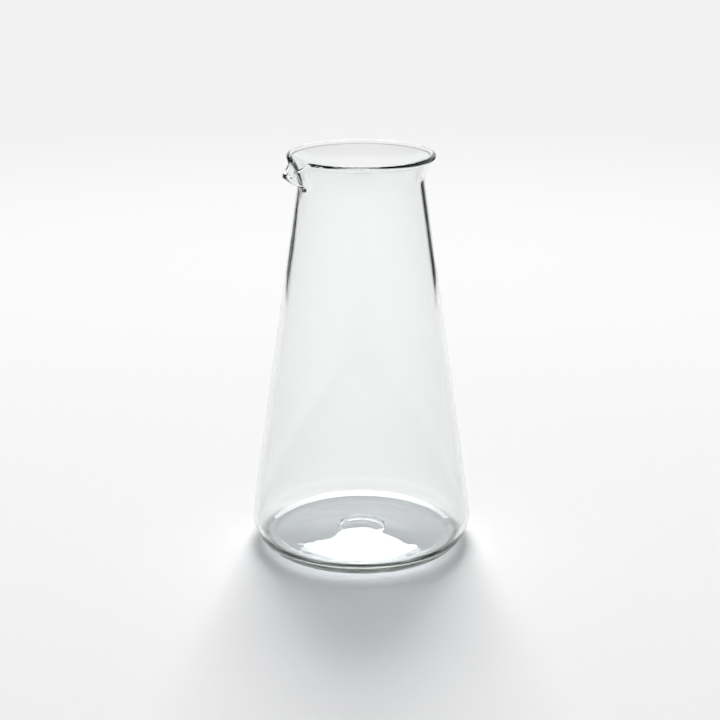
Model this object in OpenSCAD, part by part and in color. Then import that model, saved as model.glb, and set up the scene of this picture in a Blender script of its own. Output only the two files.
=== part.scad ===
// Conical beaker of clear glass with a flared mouth and a small pouring spout.
// Millimetres, +Z up. The origin is the middle of the circle that the foot stands on.
// The spout points along +X.
// The real vessel is one continuous piece of glass. Each node here is one worked zone of it,
// and neighbouring zones meet face to face on a cut square to the glass.

/* [Body] */
// Overall height, from the table to the top of the rim bead
total_h = 164; // [150:1:180]
// Outer diameter at the widest place, just above the foot
heel_d = 91; // [86:0.5:98]
// Outer diameter of the cone where the neck zone begins
neck_d = 51.8; // [47:0.2:58]
// Height of the neck zone, from the end of the conical wall to the top of the rim bead
neck_h = 15; // [14:0.5:22]
// Thickness of the conical wall and the neck
wall_t = 1.8; // [1.5:0.1:2]

/* [Base] */
// Radius of the rounded outer heel
heel_r = 13.7; // [12.8:0.1:14.5]
// How far the edge of the flat foot lies inside the widest place
foot_inset = 8; // [7:0.1:9.5]
// Radius of the edge between the flat foot and the heel
foot_r = 5; // [3:0.1:6.5]
// Width of the flat ring that the vessel stands on
foot_w = 5.8; // [4.4:0.1:9]
// Thickness of the bottom
base_t = 3.2; // [2.8:0.1:4]
// Radius of the tight part of the corner inside the heel
corner_r = 6.5; // [5:0.1:8]
// Radius of the gentle bend between the floor of the bottom and that corner
floor_r = 14; // [12:0.2:16]
// How far the gentle bend turns up before the tight corner takes over, in degrees
floor_turn = 21; // [16:0.5:25]
// Slope of the middle of the bottom, which is pushed up clear of the table, in degrees
punt_slope = 5; // [2:0.5:7]
// Diameter of the rounded top of the pushed-up middle
punt_tip_d = 12; // [6:0.5:15]

/* [Seal mark] */
// Middle diameter of the low ring that the sealed tube end left in the bottom
seal_ring_d = 19.4; // [17.5:0.2:26]
// Width of that ring
seal_ring_w = 2; // [1.2:0.1:2.4]
// Height of that ring above the bottom
seal_ring_h = 0.15; // [0.1:0.05:0.4]

/* [Mouth] */
// Radius of the curve in which the neck turns outward, along the middle of the wall
flare_r = 15.8; // [13:0.1:17]
// How far the mouth leans outward at the rim, in degrees from upright
flare_lean = 41; // [35:0.5:45]
// Diameter of the fire-polished bead along the rim
bead_d = 2.15; // [2.1:0.05:2.8]

/* [Spout] */
// How far the tip of the spout is drawn outward past the rim
spout_reach = 4.6; // [2:0.1:6]
// How far the tip of the spout is drawn down below the rim
spout_drop = 5.4; // [2:0.1:6.5]
// Half of the angle of rim that the drawing-down takes in, in degrees
spout_half_angle = 20; // [16:0.5:26]
// Half of the angle that is drawn outward, in degrees
channel_half_angle = 14; // [11:0.5:15]
// How far the rim is pinched inward beside the spout
spout_pinch = 0.1; // [0:0.05:0.8]

/* [Hidden] */
$fn = 96;
glass = [0.86, 0.92, 0.91, 0.45];
thick_glass = [0.74, 0.86, 0.84, 0.6];
// How far a cutting shape runs past what it cuts
past = 1;
// Steps along the arcs of the foot, the heel, its inner face, the corner inside it and the floor
foot_steps = 6;
heel_steps = 18;
heel_top_steps = 3;
inside_steps = 6;
corner_steps = 14;
floor_steps = 6;
// Steps along the flare, round the outer half of the bead, and across the spout's sector
arc_steps = 14;
bead_steps = 14;
sector_steps = 42;
neck_z = total_h - neck_h;

function ray(angle) = [cos(angle), sin(angle)];
function arc(centre, radius, from, to, steps) = [
    for (i = [0:steps]) centre + radius * ray(from + (to - from) * i / steps)
];
function reversed(list) = [for (i = [len(list) - 1:-1:0]) list[i]];
function between(list, first, last) = [for (i = [first:last]) list[i]];

// Heel: the edge of the foot is an arc that touches both the table and the outer arc from inside,
// and the outer arc ends where it is tangent to the cone.
foot_c = [heel_d / 2 - foot_inset, foot_r];
heel_x = heel_d / 2 - heel_r;
foot_turn = -acos((foot_c.x - heel_x) / (heel_r - foot_r));
heel_c = [heel_x, foot_r - (heel_r - foot_r) * sin(foot_turn)];
neck_point = [neck_d / 2, neck_z];
heel_to_neck = neck_point - heel_c;
cone_lean = asin(heel_r / norm(heel_to_neck)) - atan2(heel_to_neck.x, heel_to_neck.y);
heel_top = heel_c.y + heel_r * sin(cone_lean);
function outer_r(z) = neck_point.x + (neck_z - z) * tan(cone_lean);
function inner_r(z) = outer_r(z) - wall_t / cos(cone_lean);

// Inner corner: a gentle arc tangent to the floor runs into a tight arc, and that one into an arc
// that keeps the wall's thickness round the outer heel.
inside_r = heel_r - wall_t;
floor_rest = floor_r - corner_r;
corner_z = base_t + floor_r - floor_rest * cos(floor_turn);
corner_turn = asin((corner_z - heel_c.y) / (inside_r - corner_r));
corner_c = heel_c + (inside_r - corner_r) * ray(corner_turn);
floor_c = [corner_c.x - floor_rest * sin(floor_turn), base_t + floor_r];

// Pushed-up middle: a shallow cone with a rounded top.
punt_r = foot_c.x - foot_w;
// Section of the heel zone: under the foot, up the outside, down the inside and along the floor.
heel_section = concat(
    [[punt_r, 0]],
    arc(foot_c, foot_r, -90, foot_turn, foot_steps),
    between(arc(heel_c, heel_r, foot_turn, 0, heel_steps), 1, heel_steps),
    between(arc(heel_c, heel_r, 0, cone_lean, heel_top_steps), 1, heel_top_steps),
    [[inner_r(heel_top), heel_top]],
    arc(heel_c, inside_r, cone_lean, corner_turn, inside_steps),
    between(arc(corner_c, corner_r, corner_turn, floor_turn - 90, corner_steps), 1, corner_steps),
    between(arc(floor_c, floor_r, floor_turn - 90, -90, floor_steps), 1, floor_steps),
    [[punt_r, base_t]]
);
punt_tip_r = punt_tip_d / 2;
punt_round = punt_tip_r / sin(punt_slope);
function punt_z(r) = (punt_r - r) * tan(punt_slope);
punt_round_z = punt_z(punt_tip_r) - punt_round * cos(punt_slope);
// The seal mark is the top of a circle that lies mostly below the floor.
seal_ring_r = seal_ring_w * seal_ring_w / seal_ring_h / 8 + seal_ring_h / 2;

// Flare: a circular arc along the middle of the wall, tangent to the cone where it starts.
bead_r = bead_d / 2;
rim_z = total_h - bead_r;
flare_z = rim_z - flare_r * (sin(cone_lean) + sin(flare_lean));
flare_start = [outer_r(flare_z) - wall_t / 2 / cos(cone_lean), flare_z];
flare_c = flare_start + flare_r * ray(cone_lean);
rim_point = flare_c + flare_r * [-cos(flare_lean), sin(flare_lean)];
rim_along = [sin(flare_lean), cos(flare_lean)];
rim_across = [cos(flare_lean), -sin(flare_lean)];
// Spout: its sector reaches a little past the drawn glass, so that its sides are plain sections.
sector_half = spout_half_angle + 2;

// A point of the flare's section: turn is the lean there, side is the distance towards the outside.
function flare_point(turn, side) = flare_c + (flare_r - side) * [-cos(turn), sin(turn)];
// A point on the rim bead: 0 degrees is its outermost edge, 90 degrees its underside.
function bead_point(turn) = rim_point + bead_r * (cos(turn) * rim_along + sin(turn) * rim_across);
// Where the faces of the wall run into the bead.
bead_turn = 180 - asin(wall_t / 2 / bead_r);
bead_back = -bead_r * cos(bead_turn);
function lean_at_bead(side) = flare_lean - asin(bead_back / (flare_r - side));

function flare_face(side) = [
    for (i = [0:arc_steps])
        flare_point(-cone_lean + (lean_at_bead(side) + cone_lean) * i / arc_steps, side)
];
function bead_arc(from, to, steps) = [
    for (i = [0:steps]) bead_point(from + (to - from) * i / steps)
];

// Section of the neck zone, up to the line through the middle of the bead.
neck_section = concat(
    [[outer_r(neck_z), neck_z]],
    between(flare_face(wall_t / 2), 0, arc_steps - 1),
    bead_arc(bead_turn, 90, 3),
    bead_arc(-90, -bead_turn, 3),
    between(reversed(flare_face(-wall_t / 2)), 1, arc_steps),
    [[inner_r(neck_z), neck_z]]
);
// Section of the outer half of the bead.
lip_section = bead_arc(90, -90, bead_steps);

// The drawing of the glass fades out smoothly across the sector and down the neck.
function fade(angle, half) = abs(angle) < half ? pow(cos(90 * angle / half), 2) : 0;
function beside(angle, half) = abs(angle) < half ? pow(sin(180 * angle / half), 2) : 0;
function rise(z) = let (t = min(max((z - neck_z) / (rim_z - neck_z), 0), 1)) t * t * (3 - 2 * t);
function drawn(p, angle) =
    let (
        share = rise(p.y),
        out = spout_reach * fade(angle, channel_half_angle) - spout_pinch * beside(angle, spout_half_angle),
        r = p.x + share * out,
        z = p.y - share * spout_drop * fade(angle, spout_half_angle)
    )
    [r * cos(angle), r * sin(angle), z];

// Sweeps a section, drawn at each angle, across the spout's sector.
module spout_sweep(section) {
    n = len(section);
    points = [
        for (i = [0:sector_steps], p = section) drawn(p, sector_half * (2 * i / sector_steps - 1))
    ];
    sides = [
        for (i = [0:sector_steps - 1], j = [0:n - 1], half = [0, 1])
            let (a = i * n + j, b = i * n + (j + 1) % n)
            half == 0 ? [a, b, a + n] : [b, b + n, a + n]
    ];
    first_end = [[for (j = [n - 1:-1:0]) j]];
    last_end = [[for (j = [0:n - 1]) sector_steps * n + j]];
    polyhedron(points, concat(first_end, sides, last_end), convexity = 6);
}

// Turns a section round the axis, all but the spout's sector.
module turned_past_spout() {
    rotate([0, 0, sector_half])
        rotate_extrude(angle = 360 - 2 * sector_half)
            children();
}

// Everything from below the bottom up to the pushed-up curve, lifted by a thickness.
module below_punt(lift, start) {
    intersection() {
        translate([0, punt_round_z + lift])
            circle(punt_round, $fn = 720);
        translate([0, start])
            square([punt_tip_r, lift + punt_r]);
    }
    polygon([
        [punt_tip_r, start], [punt_r, start], [punt_r, lift], [punt_tip_r, punt_z(punt_tip_r) + lift]
    ]);
}

module base_disc() {
    color(thick_glass)
        rotate_extrude()
            difference() {
                below_punt(base_t, 0);
                below_punt(0, -past);
            }
}

module seal_ring() {
    color(thick_glass)
        rotate_extrude()
            difference() {
                translate([seal_ring_d / 2, base_t + punt_z(seal_ring_d / 2) + seal_ring_h - seal_ring_r])
                    circle(seal_ring_r, $fn = 240);
                below_punt(base_t, -2 * seal_ring_r);
            }
}

module heel() {
    color(thick_glass)
        rotate_extrude()
            polygon(heel_section);
}

module conical_wall() {
    color(glass)
        rotate_extrude()
            polygon([
                [outer_r(heel_top), heel_top], [outer_r(neck_z), neck_z],
                [inner_r(neck_z), neck_z], [inner_r(heel_top), heel_top]
            ]);
}

module flared_neck() {
    color(glass)
        turned_past_spout()
            polygon(neck_section);
}

module rim_bead() {
    color(thick_glass)
        turned_past_spout()
            polygon(lip_section);
}

module spout_trough() {
    color(glass)
        spout_sweep(neck_section);
}

module spout_lip() {
    color(thick_glass)
        spout_sweep(lip_section);
}

base_disc();
seal_ring();
heel();
conical_wall();
flared_neck();
rim_bead();
spout_trough();
spout_lip();
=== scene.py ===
"""Looks of a clear glass conical beaker on a pale table, under one large soft light.

Everything is in metres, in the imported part's own frame: +Z up, the spout along +X.
"""

import math

import bmesh
import bpy
from bpy.props import FloatProperty, FloatVectorProperty, IntProperty, PointerProperty
from bpy.types import Operator, Panel, PropertyGroup
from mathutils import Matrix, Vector, noise


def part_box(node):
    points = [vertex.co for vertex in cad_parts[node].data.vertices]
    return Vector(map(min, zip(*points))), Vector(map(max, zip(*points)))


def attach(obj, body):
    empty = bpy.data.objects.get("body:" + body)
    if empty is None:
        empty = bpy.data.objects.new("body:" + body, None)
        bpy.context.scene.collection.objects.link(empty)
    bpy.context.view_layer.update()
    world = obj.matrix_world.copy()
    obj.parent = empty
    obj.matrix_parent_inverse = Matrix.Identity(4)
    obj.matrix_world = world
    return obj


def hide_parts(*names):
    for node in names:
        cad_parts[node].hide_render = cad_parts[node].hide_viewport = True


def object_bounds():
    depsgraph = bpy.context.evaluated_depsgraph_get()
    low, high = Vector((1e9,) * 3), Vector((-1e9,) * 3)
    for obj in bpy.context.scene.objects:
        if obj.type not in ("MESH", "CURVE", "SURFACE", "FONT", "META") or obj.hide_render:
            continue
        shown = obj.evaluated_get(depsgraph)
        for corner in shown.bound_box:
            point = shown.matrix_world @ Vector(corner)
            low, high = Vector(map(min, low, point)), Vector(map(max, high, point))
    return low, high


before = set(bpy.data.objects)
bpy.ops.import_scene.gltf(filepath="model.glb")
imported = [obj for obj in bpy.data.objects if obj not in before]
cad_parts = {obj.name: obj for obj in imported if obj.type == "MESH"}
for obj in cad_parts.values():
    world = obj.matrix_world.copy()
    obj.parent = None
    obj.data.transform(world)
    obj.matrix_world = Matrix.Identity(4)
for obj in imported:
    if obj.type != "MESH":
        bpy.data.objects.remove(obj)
CAD_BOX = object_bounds()
HEEL_LOW, HEEL_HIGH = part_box("heel")
WALL_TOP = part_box("conical_wall")[1].z

bl_info = {
    "name": "Conical beaker",
    "version": (1, 0, 0),
    "blender": (4, 5, 0),
    "location": "View3D > Sidebar > Beaker",
    "description": "Builds the glass of a conical beaker and the pale stage that it stands on",
    "category": "Object",
}

BODY = "root"

# Steps in each stretch of the section, from the middle of the underside round to the floor's.
PUNT_TIP_STEPS = 10
PUNT_STEPS = 14
PUNT_EDGE_STEPS = 6
FOOT_STEPS = 8
HEEL_STEPS = 24
OUTER_WALL_STEPS = 12
FLARE_STEPS = 16
BEAD_STEPS = 26
INNER_WALL_STEPS = 28
CORNER_STEPS = 16
BEND_STEPS = 20
FLOOR_EDGE_STEPS = 12
FLOOR_STEPS = 16
SEAL_STEPS = 16
MIDDLE_STEPS = 14

# Height of the seal ring, in shares of the height that is set for it: half of what it has
# opposite the melted gap, how far lumps change that, and the most that it may have.
SEAL_RISE = 1.3
SEAL_LUMP = 1.2
SEAL_MOST = 2
# How often the seal ring strays and how often it has a lump, on the way round.
STRAY_PACE = 1.3
LUMP_PACE = 2.1
# The noise of the ripples starts from this seed, so that every run gives the same glass.
RIPPLE_SEED = 1

# The film lies where its noise is over the first value, and is thickest from the second.
FILM_FROM = 0.45
FILM_FULL = 0.8
FILM_DETAIL = 4.0

TABLE_RADIUS = 30
TABLE_SIDES = 96
# The table lies this far under the foot, so that the two never share a plane.
TABLE_DROP = 0.00002
CARD_STEPS = 8

# Light runs along inside the thick bottom and the bead, so it needs many bounces.
LIGHT_BOUNCES = 64
# A count of bounces over this is one or more.
ANY_BOUNCE = 0.5

# The photograph's width, and how far right of its middle the vessel's axis stands, in pixels.
PICTURE_WIDTH = 720
AXIS_RIGHT = 1.2
# The camera's sensor, in millimetres.
SENSOR_WIDTH = 36
CLIP_START = 0.01


class BeakerSizes(PropertyGroup):
    """Real sizes of the glass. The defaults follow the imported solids."""

    total_height: FloatProperty(
        name="Total height", description="Table to the top of the rim bead",
        default=CAD_BOX[1][2], unit="LENGTH",
    )
    heel_diameter: FloatProperty(
        name="Heel diameter", description="Widest outer diameter, just above the foot",
        default=HEEL_HIGH.x - HEEL_LOW.x, unit="LENGTH",
    )
    neck_start: FloatProperty(
        name="Neck start", description="Height at which the cone ends and the neck zone begins",
        default=WALL_TOP, unit="LENGTH",
    )
    neck_diameter: FloatProperty(
        name="Neck diameter", description="Outer diameter of the cone where the neck zone begins",
        default=0.0518, unit="LENGTH",
    )
    wall: FloatProperty(
        name="Wall", description="Thickness of the conical wall and the neck",
        default=0.0018, unit="LENGTH",
    )
    heel_radius: FloatProperty(
        name="Heel radius", description="Radius of the rounded outer heel",
        default=0.0137, unit="LENGTH",
    )
    foot_diameter: FloatProperty(
        name="Foot diameter", description="Width of the flat foot that stands on the table",
        default=0.075, unit="LENGTH",
    )
    foot_radius: FloatProperty(
        name="Foot radius", description="Radius of the edge between the foot and the heel",
        default=0.005, unit="LENGTH",
    )
    corner_radius: FloatProperty(
        name="Corner radius", description="Radius of the tightest part of the corner inside the heel",
        default=0.0065, unit="LENGTH",
    )
    floor_radius: FloatProperty(
        name="Floor radius", description="Radius of the gentle bend between the floor and that corner",
        default=0.014, unit="LENGTH",
    )
    floor_turn: FloatProperty(
        name="Floor turn", description="How far the gentle bend turns up",
        default=math.radians(21), subtype="ANGLE",
    )
    base_thickness: FloatProperty(
        name="Base thickness", description="Thickness of the bottom at the foot",
        default=0.0032, unit="LENGTH",
    )
    punt_diameter: FloatProperty(
        name="Punt diameter", description="Width of the pushed-up middle of the bottom",
        default=0.0634, unit="LENGTH",
    )
    punt_slope: FloatProperty(
        name="Punt slope", description="Slope of the pushed-up middle",
        default=math.radians(5), subtype="ANGLE",
    )
    punt_tip_diameter: FloatProperty(
        name="Punt tip", description="Width of the rounded top of the pushed-up middle",
        default=0.012, unit="LENGTH",
    )
    punt_edge: FloatProperty(
        name="Punt edge", description="Half the width over which the pushed-up middle turns flat",
        default=0.0032, unit="LENGTH",
    )
    seal_ring_diameter: FloatProperty(
        name="Seal ring diameter", description="Middle diameter of the ring left by the sealed tube end",
        default=0.0194, unit="LENGTH",
    )
    seal_ring_width: FloatProperty(
        name="Seal ring width", description="Width of that ring where it meets the bottom",
        default=0.002, unit="LENGTH",
    )
    seal_ring_height: FloatProperty(
        name="Seal ring height", description="Height of that ring above the bottom, before its lumps",
        default=0.00015, unit="LENGTH",
    )
    seal_gap_turn: FloatProperty(
        name="Seal gap turn", description="Direction in which that ring has melted flat",
        default=math.radians(62), subtype="ANGLE",
    )
    seal_ring_wander: FloatProperty(
        name="Seal ring wander", description="How far that ring strays from a true circle",
        default=0.0007, unit="LENGTH",
    )
    ripple: FloatProperty(
        name="Ripple", description="Depth of the soft ripples left on the inside by shaping the glass",
        default=0.00001, unit="LENGTH",
    )
    ripple_length: FloatProperty(
        name="Ripple length", description="Distance from one ripple to the next",
        default=0.014, unit="LENGTH",
    )
    flare_radius: FloatProperty(
        name="Flare radius", description="Radius of the curve in which the neck turns outward",
        default=0.0158, unit="LENGTH",
    )
    flare_lean: FloatProperty(
        name="Flare lean", description="How far the mouth leans outward at the rim",
        default=math.radians(41), subtype="ANGLE",
    )
    bead_diameter: FloatProperty(
        name="Bead diameter", description="Diameter of the fire-polished bead along the rim",
        default=0.00215, unit="LENGTH",
    )
    spout_reach: FloatProperty(
        name="Spout reach", description="How far the spout's tip is drawn outward",
        default=0.0046, unit="LENGTH",
    )
    spout_drop: FloatProperty(
        name="Spout drop", description="How far the spout's tip is drawn down",
        default=0.0054, unit="LENGTH",
    )
    spout_half_angle: FloatProperty(
        name="Spout half angle", description="Half of the angle of rim that is drawn down",
        default=math.radians(20), subtype="ANGLE",
    )
    channel_half_angle: FloatProperty(
        name="Channel half angle", description="Half of the angle of rim that is drawn outward",
        default=math.radians(14), subtype="ANGLE",
    )
    spout_pinch: FloatProperty(
        name="Spout pinch", description="How far the rim is pinched inward beside the spout",
        default=0.0001, unit="LENGTH",
    )
    around: IntProperty(name="Columns", description="Columns of faces round the glass", default=360)


class GlassFinish(PropertyGroup):
    """Colours and surface detail of the glass."""

    clear: FloatVectorProperty(
        name="Clear glass", description="Tint of the thin wall", subtype="COLOR",
        default=(0.988, 0.990, 0.991), min=0, max=1,
    )
    # Painted edge shade: the base colour turns to this darker colour where the glass is seen edge-on, which
    # draws dark lines along its outlines.
    edge: FloatVectorProperty(
        name="Edge tint", description="Tint where the glass is looked at along its surface",
        subtype="COLOR", default=(0.72, 0.75, 0.74), min=0, max=1,
    )
    body: FloatVectorProperty(
        name="Body colour", description="Colour that light takes on inside the glass",
        subtype="COLOR", default=(0.74, 0.78, 0.74), min=0, max=1,
    )
    density: FloatProperty(
        name="Body density", description="How fast light takes on that colour, per metre",
        default=30.0,
    )
    # Reach of the painted edge shade in from the outline.
    edge_shade_blend: FloatProperty(
        name="Edge blend", description="How far the edge tint reaches in from the outline",
        default=0.2, min=0, max=1,
    )
    ior: FloatProperty(name="Index", description="Index of refraction", default=1.474)
    film: FloatProperty(
        name="Film", description="Roughness where the faint film of dried water is thickest",
        default=0.012,
    )
    film_scale: FloatProperty(
        name="Film scale", description="Blotches of that film in a metre", default=70.0,
    )
    wave_height: FloatProperty(
        name="Wave height", description="Height of the faint waves that drawing leaves in the glass",
        default=0.00012, unit="LENGTH",
    )
    wave_scale: FloatProperty(
        name="Wave scale", description="Waves round the glass in a metre", default=75.0,
    )
    wave_stretch: FloatProperty(
        name="Wave stretch", description="Share of that number up the glass", default=0.3,
    )


class StudioSettings(PropertyGroup):
    """The table, the light, the dark cards and the camera."""

    view_turn: FloatProperty(
        name="View turn", description="Direction of the camera round the part",
        default=math.radians(152), subtype="ANGLE",
    )
    view_distance: FloatProperty(
        name="View distance", description="Level distance from the axis to the camera",
        default=0.662, unit="LENGTH",
    )
    view_height: FloatProperty(
        name="View height", description="Height of the camera over the table",
        default=0.293, unit="LENGTH",
    )
    view_pitch: FloatProperty(
        name="View pitch", description="How far the camera looks down",
        default=math.radians(17.99), subtype="ANGLE",
    )
    lens: FloatProperty(name="Lens", description="Focal length, in millimetres", default=84.85)
    shift: FloatProperty(
        name="Shift", description="Sideways shift that puts the axis where it stands in the picture",
        default=-AXIS_RIGHT / PICTURE_WIDTH,
    )
    table_colour: FloatVectorProperty(
        name="Table", description="Colour of the table", subtype="COLOR",
        default=(0.90, 0.90, 0.905), min=0, max=1,
    )
    backdrop_colour: FloatVectorProperty(
        name="Backdrop", description="Colour of the far table and the backdrop", subtype="COLOR",
        default=(0.885, 0.885, 0.89), min=0, max=1,
    )
    far_from: FloatProperty(
        name="Far table from", description="Distance at which the table begins to turn into backdrop",
        default=0.2, unit="LENGTH",
    )
    far_full: FloatProperty(
        name="Far table full", description="Distance from which the table is all backdrop",
        default=1.05, unit="LENGTH",
    )
    softbox_rise: FloatProperty(
        name="Softbox rise", description="Elevation of the light's middle, seen from the part",
        default=math.radians(49.5), subtype="ANGLE",
    )
    softbox_distance: FloatProperty(
        name="Softbox distance", description="Distance from the part to the light's middle",
        default=6.0, unit="LENGTH",
    )
    softbox_width: FloatProperty(
        name="Softbox width", description="Width of the light", default=2.6, unit="LENGTH",
    )
    softbox_length: FloatProperty(
        name="Softbox length", description="Length of the light", default=4.13, unit="LENGTH",
    )
    softbox_glow: FloatProperty(
        name="Softbox glow", description="Brightness of the light as it falls on the table",
        default=13.2,
    )
    passed_share: FloatProperty(
        name="Passed share", description="Share of that brightness where it falls through the glass",
        default=0.72,
    )
    face_colour: FloatVectorProperty(
        name="Light face", description="Colour of the light's face in the glass and through it",
        subtype="COLOR", default=(0.94, 0.965, 1.0), min=0, max=1,
    )
    mirrored_glow: FloatProperty(
        name="Mirrored glow", description="Brightness of the light's face as the glass shows it",
        default=9.0,
    )
    bounce_keep: FloatProperty(
        name="Bounce keep", description="Share of that brightness that each further reflection keeps",
        default=0.3,
    )
    fill: FloatProperty(name="Fill", description="Strength of the even light all round", default=0.15)
    dark_from: FloatProperty(
        name="Dark from", description="Elevation at which what the glass mirrors begins to darken",
        default=math.radians(18), subtype="ANGLE",
    )
    dark_full: FloatProperty(
        name="Dark full", description="Elevation from which what the glass mirrors is darkest",
        default=math.radians(32), subtype="ANGLE",
    )
    card_turn: FloatProperty(
        name="Card turn", description="Angle of each dark card from the line straight behind",
        default=math.radians(36), subtype="ANGLE",
    )
    card_half: FloatProperty(
        name="Card half width", description="Half of the angle that each dark card takes up",
        default=math.radians(10), subtype="ANGLE",
    )
    card_distance: FloatProperty(
        name="Card distance", description="Distance from the part to the dark cards",
        default=0.55, unit="LENGTH",
    )
    card_height: FloatProperty(
        name="Card height", description="Height of the dark cards", default=0.20, unit="LENGTH",
    )
    card_colour: FloatVectorProperty(
        name="Card colour", description="Colour of the dark cards as the glass shows them",
        subtype="COLOR", default=(0.01, 0.012, 0.012), min=0, max=1,
    )
    overhead: FloatProperty(
        name="Overhead", description="Brightness that the glass mirrors from above", default=0.06,
    )


def lerp(a, b, t):
    return a + (b - a) * t


def spaced(a, b, steps, first=True):
    """Even values from a to b, with or without a itself."""
    return [lerp(a, b, i / steps) for i in range(0 if first else 1, steps + 1)]


def arc(centre, radius, turns):
    """Points of a circle, at angles that turn up from the level line outward."""
    return [(centre[0] + radius * math.cos(a), centre[1] + radius * math.sin(a)) for a in turns]


def between(a, b, steps):
    """Points on the straight line from a to b, without its ends."""
    return [(lerp(a[0], b[0], t), lerp(a[1], b[1], t)) for t in spaced(0, 1, steps)[1:-1]]


def fade(turn, half):
    """1 at the spout's middle, and 0 from the half angle on."""
    return math.cos(math.pi / 2 * turn / half) ** 2 if abs(turn) < half else 0.0


def beside(turn, half):
    """0 at the spout's middle and from the half angle on, and 1 halfway between."""
    return math.sin(math.pi * turn / half) ** 2 if abs(turn) < half else 0.0


def turned(r, z, turn):
    """A point of the section, turned round the axis."""
    return Vector((r * math.cos(turn), r * math.sin(turn), z))


class Profile:
    """Section of the vessel: (radius, height) points that follow from the sizes."""

    def __init__(self, sizes):
        self.sizes = sizes
        self.bead = sizes.bead_diameter / 2

        # The foot's edge touches the heel's curve from within.
        self.foot_centre = (sizes.foot_diameter / 2, sizes.foot_radius)
        heel_x = sizes.heel_diameter / 2 - sizes.heel_radius
        apart = sizes.heel_radius - sizes.foot_radius
        heel_z = sizes.foot_radius + math.sqrt(apart**2 - (self.foot_centre[0] - heel_x) ** 2)
        self.heel_centre = (heel_x, heel_z)
        self.foot_turn = -math.acos((self.foot_centre[0] - heel_x) / apart)

        # The outside of the wall runs straight down from the neck and touches the heel's curve.
        dx = sizes.neck_diameter / 2 - heel_x
        dz = sizes.neck_start - heel_z
        self.lean = math.asin(sizes.heel_radius / math.hypot(dx, dz)) - math.atan2(dx, dz)

        # The inside follows the heel, then a tighter corner, then a gentle bend to the floor.
        self.inner_radius = sizes.heel_radius - sizes.wall
        gap = self.inner_radius - sizes.corner_radius
        spare = sizes.floor_radius - sizes.corner_radius
        floor_z = sizes.base_thickness + sizes.floor_radius
        corner_z = floor_z - spare * math.cos(sizes.floor_turn)
        self.inner_turn = math.asin((heel_z - corner_z) / gap)
        self.corner_centre = (heel_x + gap * math.cos(self.inner_turn), corner_z)
        self.floor_centre = (self.corner_centre[0] - spare * math.sin(sizes.floor_turn), floor_z)

        # The middle of the wall runs into the flare's curve, which ends in the bead's middle.
        self.rim_z = sizes.total_height - self.bead
        flare_z = self.rim_z - sizes.flare_radius * (math.sin(self.lean) + math.sin(sizes.flare_lean))
        middle = self.outer(flare_z) - sizes.wall / 2 / math.cos(self.lean)
        self.flare_centre = (
            middle + sizes.flare_radius * math.cos(self.lean),
            flare_z + sizes.flare_radius * math.sin(self.lean),
        )
        self.rim = self.flare(sizes.flare_lean, 0)

    def outer(self, z):
        """Radius of the cone's outside at a height."""
        return self.sizes.neck_diameter / 2 + (self.sizes.neck_start - z) * math.tan(self.lean)

    def punt(self, r):
        """Height of the pushed-up middle at a radius: a cone, rounded at its tip and its edge."""
        sizes = self.sizes
        edge, soft = sizes.punt_diameter / 2, sizes.punt_edge
        tip, slope = sizes.punt_tip_diameter / 2, math.tan(sizes.punt_slope)
        if r > edge + soft:
            return 0.0
        if r > edge - soft:
            return slope * (edge + soft - r) ** 2 / (4 * soft)
        if r > tip:
            return slope * (edge - r)
        bend = tip / math.sin(sizes.punt_slope)
        return slope * (edge - tip) + math.sqrt(bend**2 - r**2) - bend * math.cos(sizes.punt_slope)

    def flare(self, turn, side):
        """A point of the flare, at a distance outward from the middle of the wall."""
        reach = self.sizes.flare_radius - side
        return (
            self.flare_centre[0] - reach * math.cos(turn),
            self.flare_centre[1] + reach * math.sin(turn),
        )

    def around_bead(self, turn):
        """A point of the bead, turned outward from the direction in which the wall runs into it."""
        lean = self.sizes.flare_lean
        along, across = math.cos(turn) * self.bead, math.sin(turn) * self.bead
        return (
            self.rim[0] + along * math.sin(lean) + across * math.cos(lean),
            self.rim[1] + along * math.cos(lean) - across * math.sin(lean),
        )

    def underside(self):
        """From beside the middle out over the pushed-up bottom to the flat foot."""
        sizes = self.sizes
        edge, tip = sizes.punt_diameter / 2, sizes.punt_tip_diameter / 2
        rings = (
            spaced(0, tip, PUNT_TIP_STEPS, False)
            + spaced(tip, edge - sizes.punt_edge, PUNT_STEPS, False)
            + spaced(edge - sizes.punt_edge, edge + sizes.punt_edge, PUNT_EDGE_STEPS, False)
        )
        return [(r, self.punt(r)) for r in rings]

    def outer_heel(self):
        """Round the foot's edge and the heel, up to the wall."""
        sizes = self.sizes
        foot = spaced(-math.pi / 2, self.foot_turn, FOOT_STEPS)
        heel = spaced(self.foot_turn, self.lean, HEEL_STEPS, False)
        return arc(self.foot_centre, sizes.foot_radius, foot) + arc(self.heel_centre, sizes.heel_radius, heel)

    def mouth(self):
        """Up the flare's outside and over the bead, and then down the flare's inside."""
        sizes, side = self.sizes, self.sizes.wall / 2
        join = math.pi - math.asin(side / self.bead)
        back = -self.bead * math.cos(join)
        outer_end = sizes.flare_lean - math.asin(back / (sizes.flare_radius - side))
        inner_end = sizes.flare_lean - math.asin(back / (sizes.flare_radius + side))
        outer_flare = [self.flare(t, side) for t in spaced(-self.lean, outer_end, FLARE_STEPS)]
        bead = [self.around_bead(t) for t in spaced(join, -join, BEAD_STEPS)[1:-1]]
        inner_flare = [self.flare(t, -side) for t in spaced(inner_end, -self.lean, FLARE_STEPS)]
        return outer_flare + bead, inner_flare

    def inner_corner(self):
        """Down the inside of the heel, round the corner and along the gentle bend."""
        sizes, down = self.sizes, -math.pi / 2
        heel = spaced(self.lean, -self.inner_turn, CORNER_STEPS)
        corner = spaced(-self.inner_turn, sizes.floor_turn + down, CORNER_STEPS, False)
        bend = spaced(sizes.floor_turn + down, down, BEND_STEPS, False)
        return (
            arc(self.heel_centre, self.inner_radius, heel)
            + arc(self.corner_centre, sizes.corner_radius, corner)
            + arc(self.floor_centre, sizes.floor_radius, bend)
        )

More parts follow.
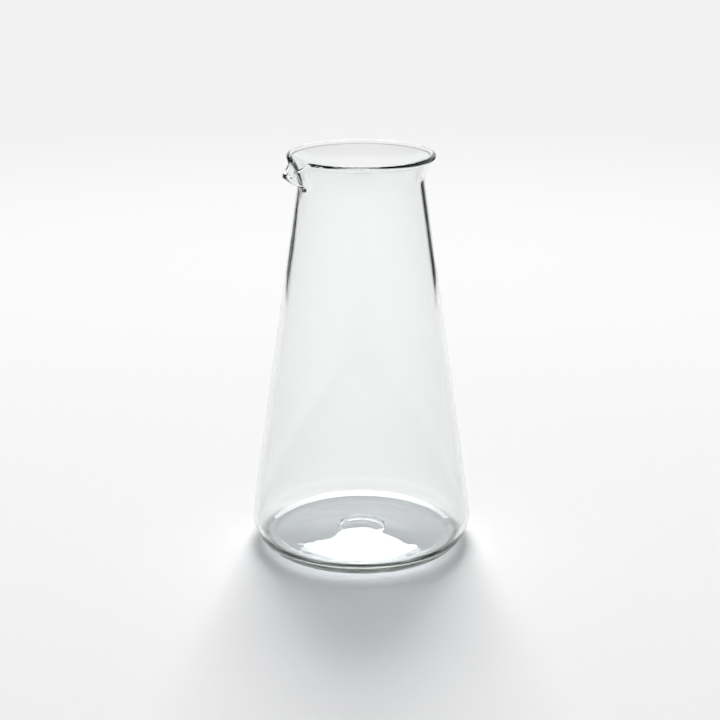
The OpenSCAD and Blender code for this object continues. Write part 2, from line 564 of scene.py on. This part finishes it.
    def floor(self):
        """In along the floor and over the seal ring, up to beside the middle."""
        sizes = self.sizes
        edge = sizes.punt_diameter / 2 - sizes.punt_edge
        ring, half = sizes.seal_ring_diameter / 2, sizes.seal_ring_width / 2
        rings = (
            spaced(self.floor_centre[0], edge, FLOOR_EDGE_STEPS, False)
            + spaced(edge, ring + half, FLOOR_STEPS, False)
            + spaced(ring + half, ring - half, SEAL_STEPS, False)
            + spaced(ring - half, 0, MIDDLE_STEPS, False)[:-1]
        )
        return [(r, sizes.base_thickness + self.punt(r)) for r in rings]

    def points(self):
        """The outside, up to the top of the vessel and over the bead, and the inside, down again."""
        heel, corner = self.outer_heel(), self.inner_corner()
        outer_mouth, inner_mouth = self.mouth()
        outer_wall = between(heel[-1], outer_mouth[0], OUTER_WALL_STEPS)
        inner_wall = between(inner_mouth[-1], corner[0], INNER_WALL_STEPS)
        outside = self.underside() + heel + outer_wall + outer_mouth
        return outside, inner_mouth + inner_wall + corner + self.floor()

    def seal(self, r, turn):
        """Height that the seal ring adds: the ring strays and its height comes and goes."""
        sizes = self.sizes
        way = Vector((math.cos(turn), math.sin(turn), 0))
        middle = sizes.seal_ring_diameter / 2 + sizes.seal_ring_wander * noise.noise(way * STRAY_PACE)
        off = abs(r - middle) / (sizes.seal_ring_width / 2)
        if off >= 1:
            return 0.0
        melted = SEAL_RISE * (1 - math.cos(turn - sizes.seal_gap_turn))
        share = melted * (1 + SEAL_LUMP * noise.noise(way * LUMP_PACE))
        height = sizes.seal_ring_height * min(max(share, 0), SEAL_MOST)
        return height * math.cos(math.pi / 2 * off) ** 2

    def rippled(self, point):
        """A point of the inside, moved by the soft ripples."""
        return point + self.sizes.ripple * noise.noise_vector(point / self.sizes.ripple_length)

    def drawn(self, r, z, turn):
        """A point of the section at an angle from the spout, after the spout is drawn."""
        sizes = self.sizes
        t = min(max((z - sizes.neck_start) / (self.rim_z - sizes.neck_start), 0), 1)
        share = t * t * (3 - 2 * t)
        down = fade(turn, sizes.spout_half_angle)
        pinch = sizes.spout_pinch * beside(turn, sizes.spout_half_angle)
        out = sizes.spout_reach * fade(turn, sizes.channel_half_angle) - pinch
        return r + share * out, z - share * sizes.spout_drop * down

    def column(self, outside, inside, turn):
        """The section's points at an angle round the axis, with seal ring, spout and ripples."""
        off = turn if turn <= math.pi else turn - 2 * math.pi
        outer = [turned(*self.drawn(r, z, off), turn) for r, z in outside]
        raised = [(r, z + self.seal(r, turn)) for r, z in inside]
        inner = [self.rippled(turned(*self.drawn(r, z, off), turn)) for r, z in raised]
        return outer + inner


def new_material(name):
    material = bpy.data.materials.new(name)
    material.use_nodes = True
    material.node_tree.nodes.clear()
    return material


def add_node(tree, kind, inputs=None, **settings):
    """Add a node with its settings. Each of the inputs is a plain value or the output that feeds it."""
    node = tree.nodes.new(kind)
    for name, value in settings.items():
        setattr(node, name, value)
    for key, value in (inputs or {}).items():
        if isinstance(value, bpy.types.NodeSocket):
            tree.links.new(value, node.inputs[key])
        else:
            node.inputs[key].default_value = value
    return node


def calculated(tree, operation, a, b):
    """What a Math node makes of two numbers or outputs."""
    return add_node(tree, "ShaderNodeMath", {0: a, 1: b}, operation=operation).outputs["Value"]


def wall_tint_and_edge_shade(tree, finish):
    """The tint of the thin wall, and painted edge shade: the colour turns darker where the glass is seen
    along its surface.
    """
    facing = add_node(tree, "ShaderNodeLayerWeight", {"Blend": finish.edge_shade_blend})
    mix = add_node(tree, "ShaderNodeMix", {
        "Factor": facing.outputs["Facing"],
        "A": (*finish.clear, 1),
        "B": (*finish.edge, 1),
    }, data_type="RGBA")
    return mix.outputs["Result"]


def drawn_waves(tree, finish, place):
    """Faint waves, longer up the glass than round it."""
    stretched = add_node(tree, "ShaderNodeMapping", {
        "Vector": place, "Scale": (1, 1, finish.wave_stretch),
    })
    waves = add_node(tree, "ShaderNodeTexNoise", {
        "Vector": stretched.outputs["Vector"], "Scale": finish.wave_scale,
    })
    bump = add_node(tree, "ShaderNodeBump", {
        "Height": waves.outputs["Fac"], "Distance": finish.wave_height,
    })
    return bump.outputs["Normal"]


def dried_film(tree, finish, place):
    """Roughness of the faint blotches that dried water leaves."""
    blotches = add_node(tree, "ShaderNodeTexNoise", {
        "Vector": place, "Scale": finish.film_scale, "Detail": FILM_DETAIL,
    })
    film = add_node(tree, "ShaderNodeMapRange", {
        "Value": blotches.outputs["Fac"],
        "From Min": FILM_FROM,
        "From Max": FILM_FULL,
        "To Max": finish.film,
    })
    return film.outputs["Result"]


def glass_material(finish):
    material = new_material("clear_borosilicate")
    tree = material.node_tree
    place = add_node(tree, "ShaderNodeTexCoord").outputs["Object"]
    shader = add_node(tree, "ShaderNodeBsdfPrincipled", {
        "Transmission Weight": 1.0,
        "IOR": finish.ior,
        # Painted edge shade: the base colour darkens where the glass is seen edge-on.
        "Base Color": wall_tint_and_edge_shade(tree, finish),
        "Normal": drawn_waves(tree, finish, place),
        "Roughness": dried_film(tree, finish, place),
    })
    body = add_node(tree, "ShaderNodeVolumeAbsorption", {
        "Color": (*finish.body, 1), "Density": finish.density,
    })
    add_node(tree, "ShaderNodeOutputMaterial", {
        "Surface": shader.outputs["BSDF"], "Volume": body.outputs["Volume"],
    })
    return material


def glowing(tree, colour, strength=1.0):
    """Send a plain glow to the material's surface."""
    glow = add_node(tree, "ShaderNodeEmission", {"Color": (*colour, 1), "Strength": strength})
    add_node(tree, "ShaderNodeOutputMaterial", {"Surface": glow.outputs["Emission"]})


def table_material(studio):
    """Pale near the vessel, where it takes the light, and glowing where it turns into backdrop."""
    material = new_material("pale_table")
    tree = material.node_tree
    where = add_node(tree, "ShaderNodeNewGeometry")
    far = add_node(tree, "ShaderNodeVectorMath", {0: where.outputs["Position"]}, operation="LENGTH")
    reach = add_node(tree, "ShaderNodeMapRange", {
        "Value": far.outputs["Value"],
        "From Min": studio.far_from,
        "From Max": studio.far_full,
    }, interpolation_type="SMOOTHSTEP")
    lit = add_node(tree, "ShaderNodeBsdfDiffuse", {"Color": (*studio.table_colour, 1)})
    glow = add_node(tree, "ShaderNodeEmission", {"Color": (*studio.backdrop_colour, 1)})
    mix = add_node(tree, "ShaderNodeMixShader", {
        "Fac": reach.outputs["Result"],
        1: lit.outputs["BSDF"],
        2: glow.outputs["Emission"],
    })
    add_node(tree, "ShaderNodeOutputMaterial", {"Surface": mix.outputs["Shader"]})
    return material


def face_material(studio):
    """Weaker in the glass with each further reflection, and steady as it lights the table."""
    material = new_material("softbox_face")
    material.cycles.emission_sampling = "NONE"
    tree = material.node_tree
    path = add_node(tree, "ShaderNodeLightPath")
    further = calculated(tree, "SUBTRACT", path.outputs["Glossy Depth"], 1.0)
    kept = calculated(tree, "POWER", studio.bounce_keep, calculated(tree, "MAXIMUM", further, 0.0))
    level = add_node(tree, "ShaderNodeMix", {
        "Factor": calculated(tree, "GREATER_THAN", path.outputs["Diffuse Depth"], ANY_BOUNCE),
        "A": calculated(tree, "MULTIPLY", kept, studio.mirrored_glow),
        "B": studio.softbox_glow * studio.passed_share,
    })
    glowing(tree, studio.face_colour, level.outputs["Result"])
    return material


def card_material(studio):
    material = new_material("dark_card")
    glowing(material.node_tree, studio.card_colour)
    return material


def mesh_from(bm, name, material):
    mesh = bpy.data.meshes.new(name)
    bm.to_mesh(mesh)
    bm.free()
    mesh.materials.append(material)
    return mesh


def add_object(context, name, data):
    thing = bpy.data.objects.new(name, data)
    context.scene.collection.objects.link(thing)
    return thing


def hide_from(thing, *rays):
    """Hide an object from some kinds of rays."""
    for ray in rays:
        setattr(thing, f"visible_{ray}", False)


class BEAKER_OT_vessel(Operator):
    """Build the whole glass vessel as one closed skin"""

    bl_idname = "beaker.vessel"
    bl_label = "Build vessel"

    def execute(self, context):
        sizes, finish = context.scene.beaker_sizes, context.scene.beaker_finish
        mesh = mesh_from(self.skin(sizes), "beaker_glass", glass_material(finish))
        mesh.shade_smooth()
        vessel = add_object(context, "beaker_glass", mesh)
        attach(vessel, BODY)
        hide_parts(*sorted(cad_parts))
        return {"FINISHED"}

    def skin(self, sizes):
        """Columns of points round the axis, and a point at each of the bottom's two middles."""
        profile = Profile(sizes)
        outside, inside = profile.points()
        noise.seed_set(RIPPLE_SEED)
        bm = bmesh.new()
        rise = profile.punt(0)
        under_middle = bm.verts.new((0, 0, rise))
        above = Vector((0, 0, sizes.base_thickness + rise))
        floor_middle = bm.verts.new(profile.rippled(above))
        columns = []
        for i in range(sizes.around):
            turn = 2 * math.pi * i / sizes.around
            columns.append([bm.verts.new(p) for p in profile.column(outside, inside, turn)])
        for i, column in enumerate(columns):
            after = columns[(i + 1) % len(columns)]
            bm.faces.new((under_middle, after[0], column[0]))
            bm.faces.new((floor_middle, column[-1], after[-1]))
            for j in range(len(column) - 1):
                bm.faces.new((column[j], after[j], after[j + 1], column[j + 1]))
        bmesh.ops.recalc_face_normals(bm, faces=bm.faces)
        return bm


class BEAKER_OT_stage(Operator):
    """Lay the pale table, hang the soft light, stand the dark cards and set the camera"""

    bl_idname = "beaker.stage"
    bl_label = "Build stage"

    def execute(self, context):
        studio = context.scene.beaker_studio
        self.table(context, studio)
        light = self.light(context, studio)
        self.face(context, studio, light)
        self.cards(context, studio)
        self.world(context, studio)
        self.camera(context, studio)
        context.scene.view_settings.view_transform = "Standard"
        cycles = context.scene.cycles
        cycles.blur_glossy = 0
        cycles.max_bounces = LIGHT_BOUNCES
        cycles.glossy_bounces = LIGHT_BOUNCES
        cycles.transmission_bounces = LIGHT_BOUNCES
        return {"FINISHED"}

    def table(self, context, studio):
        bm = bmesh.new()
        bmesh.ops.create_circle(bm, cap_ends=True, segments=TABLE_SIDES, radius=TABLE_RADIUS)
        table = add_object(context, "table", mesh_from(bm, "table", table_material(studio)))
        table.location.z = -TABLE_DROP

    def light(self, context, studio):
        """The lamp lights the table. The glass shows its face instead."""
        data = bpy.data.lights.new("softbox", "AREA")
        data.shape = "RECTANGLE"
        data.size = studio.softbox_width
        data.size_y = studio.softbox_length
        data.energy = studio.softbox_glow * math.pi * data.size * data.size_y
        light = add_object(context, "softbox", data)
        turn = studio.view_turn
        behind = studio.softbox_distance * math.cos(studio.softbox_rise)
        light.location = (
            -math.sin(turn) * behind,
            math.cos(turn) * behind,
            studio.softbox_distance * math.sin(studio.softbox_rise),
        )
        light.rotation_euler = (studio.softbox_rise - math.pi / 2, 0, turn)
        hide_from(light, "camera", "glossy", "transmission")
        return light

    def face(self, context, studio, light):
        """The face of the lamp, as the glass shows it."""
        bm = bmesh.new()
        half_x, half_y = studio.softbox_width / 2, studio.softbox_length / 2
        corners = ((-half_x, -half_y), (half_x, -half_y), (half_x, half_y), (-half_x, half_y))
        bm.faces.new([bm.verts.new((x, y, 0)) for x, y in corners])
        mesh = mesh_from(bm, "softbox_face", face_material(studio))
        face = add_object(context, "softbox_face", mesh)
        face.location, face.rotation_euler = light.location, light.rotation_euler
        hide_from(face, "camera", "diffuse", "shadow")

    def cards(self, context, studio):
        """Only the glass sees the cards. They draw the dark lines of the upper wall."""
        material = card_material(studio)
        for name, side in (("dark_card_left", -1), ("dark_card_right", 1)):
            middle = studio.view_turn + math.pi / 2 + side * studio.card_turn
            bm = bmesh.new()
            edges = []
            for a in spaced(middle - studio.card_half, middle + studio.card_half, CARD_STEPS):
                foot = turned(studio.card_distance, 0, a)
                top = turned(studio.card_distance, studio.card_height, a)
                edges.append((bm.verts.new(foot), bm.verts.new(top)))
            for (foot, top), (next_foot, next_top) in zip(edges, edges[1:]):
                bm.faces.new((foot, next_foot, next_top, top))
            card = add_object(context, name, mesh_from(bm, name, material))
            hide_from(card, "camera", "diffuse", "shadow")

    def world(self, context, studio):
        """The camera sees the backdrop, and the glass shows it darker the higher it looks."""
        world = bpy.data.worlds.new("studio")
        world.use_nodes = True
        tree = world.node_tree
        tree.nodes.clear()
        path = add_node(tree, "ShaderNodeLightPath").outputs
        coords = add_node(tree, "ShaderNodeTexCoord")
        split = add_node(tree, "ShaderNodeSeparateXYZ", {"Vector": coords.outputs["Generated"]})
        height = add_node(tree, "ShaderNodeMapRange", {
            "Value": split.outputs["Z"],
            "From Min": math.sin(studio.dark_from),
            "From Max": math.sin(studio.dark_full),
            "To Min": 1.0,
            "To Max": studio.overhead,
        }, interpolation_type="SMOOTHSTEP")
        room = add_node(tree, "ShaderNodeMix", {
            "Factor": calculated(tree, "MAXIMUM", path["Is Glossy Ray"], path["Is Transmission Ray"]),
            "A": studio.fill,
            "B": height.outputs["Result"],
        })
        camera = add_node(tree, "ShaderNodeMix", {
            "Factor": path["Is Camera Ray"], "A": room.outputs["Result"], "B": 1.0,
        })
        glow = add_node(tree, "ShaderNodeBackground", {
            "Color": (*studio.backdrop_colour, 1), "Strength": camera.outputs["Result"],
        })
        add_node(tree, "ShaderNodeOutputWorld", {"Surface": glow.outputs["Background"]})
        context.scene.world = world

    def camera(self, context, studio):
        data = bpy.data.cameras.new("camera")
        data.lens = studio.lens
        data.sensor_width = SENSOR_WIDTH
        data.shift_x = studio.shift
        data.clip_start = CLIP_START
        camera = add_object(context, "camera", data)
        turn = studio.view_turn
        camera.location = (
            math.sin(turn) * studio.view_distance,
            -math.cos(turn) * studio.view_distance,
            studio.view_height,
        )
        camera.rotation_euler = (math.pi / 2 - studio.view_pitch, 0, turn)
        context.scene.camera = camera


class BEAKER_PT_panel(Panel):
    """Buttons that build the beaker and its stage"""

    bl_label = "Conical beaker"
    bl_idname = "BEAKER_PT_panel"
    bl_space_type = "VIEW_3D"
    bl_region_type = "UI"
    bl_category = "Beaker"

    def draw(self, context):
        for group in ("beaker_sizes", "beaker_finish", "beaker_studio"):
            settings = getattr(context.scene, group)
            for name in settings.__annotations__:
                self.layout.prop(settings, name)
        self.layout.operator(BEAKER_OT_vessel.bl_idname)
        self.layout.operator(BEAKER_OT_stage.bl_idname)


CLASSES = (BeakerSizes, GlassFinish, StudioSettings, BEAKER_OT_vessel, BEAKER_OT_stage, BEAKER_PT_panel)


def register():
    for cls in CLASSES:
        bpy.utils.register_class(cls)
    bpy.types.Scene.beaker_sizes = PointerProperty(type=BeakerSizes)
    bpy.types.Scene.beaker_finish = PointerProperty(type=GlassFinish)
    bpy.types.Scene.beaker_studio = PointerProperty(type=StudioSettings)


def unregister():
    del bpy.types.Scene.beaker_studio
    del bpy.types.Scene.beaker_finish
    del bpy.types.Scene.beaker_sizes
    for cls in reversed(CLASSES):
        bpy.utils.unregister_class(cls)


def main():
    register()
    bpy.ops.beaker.stage()
    bpy.ops.beaker.vessel()


if __name__ == "__main__":
    main()
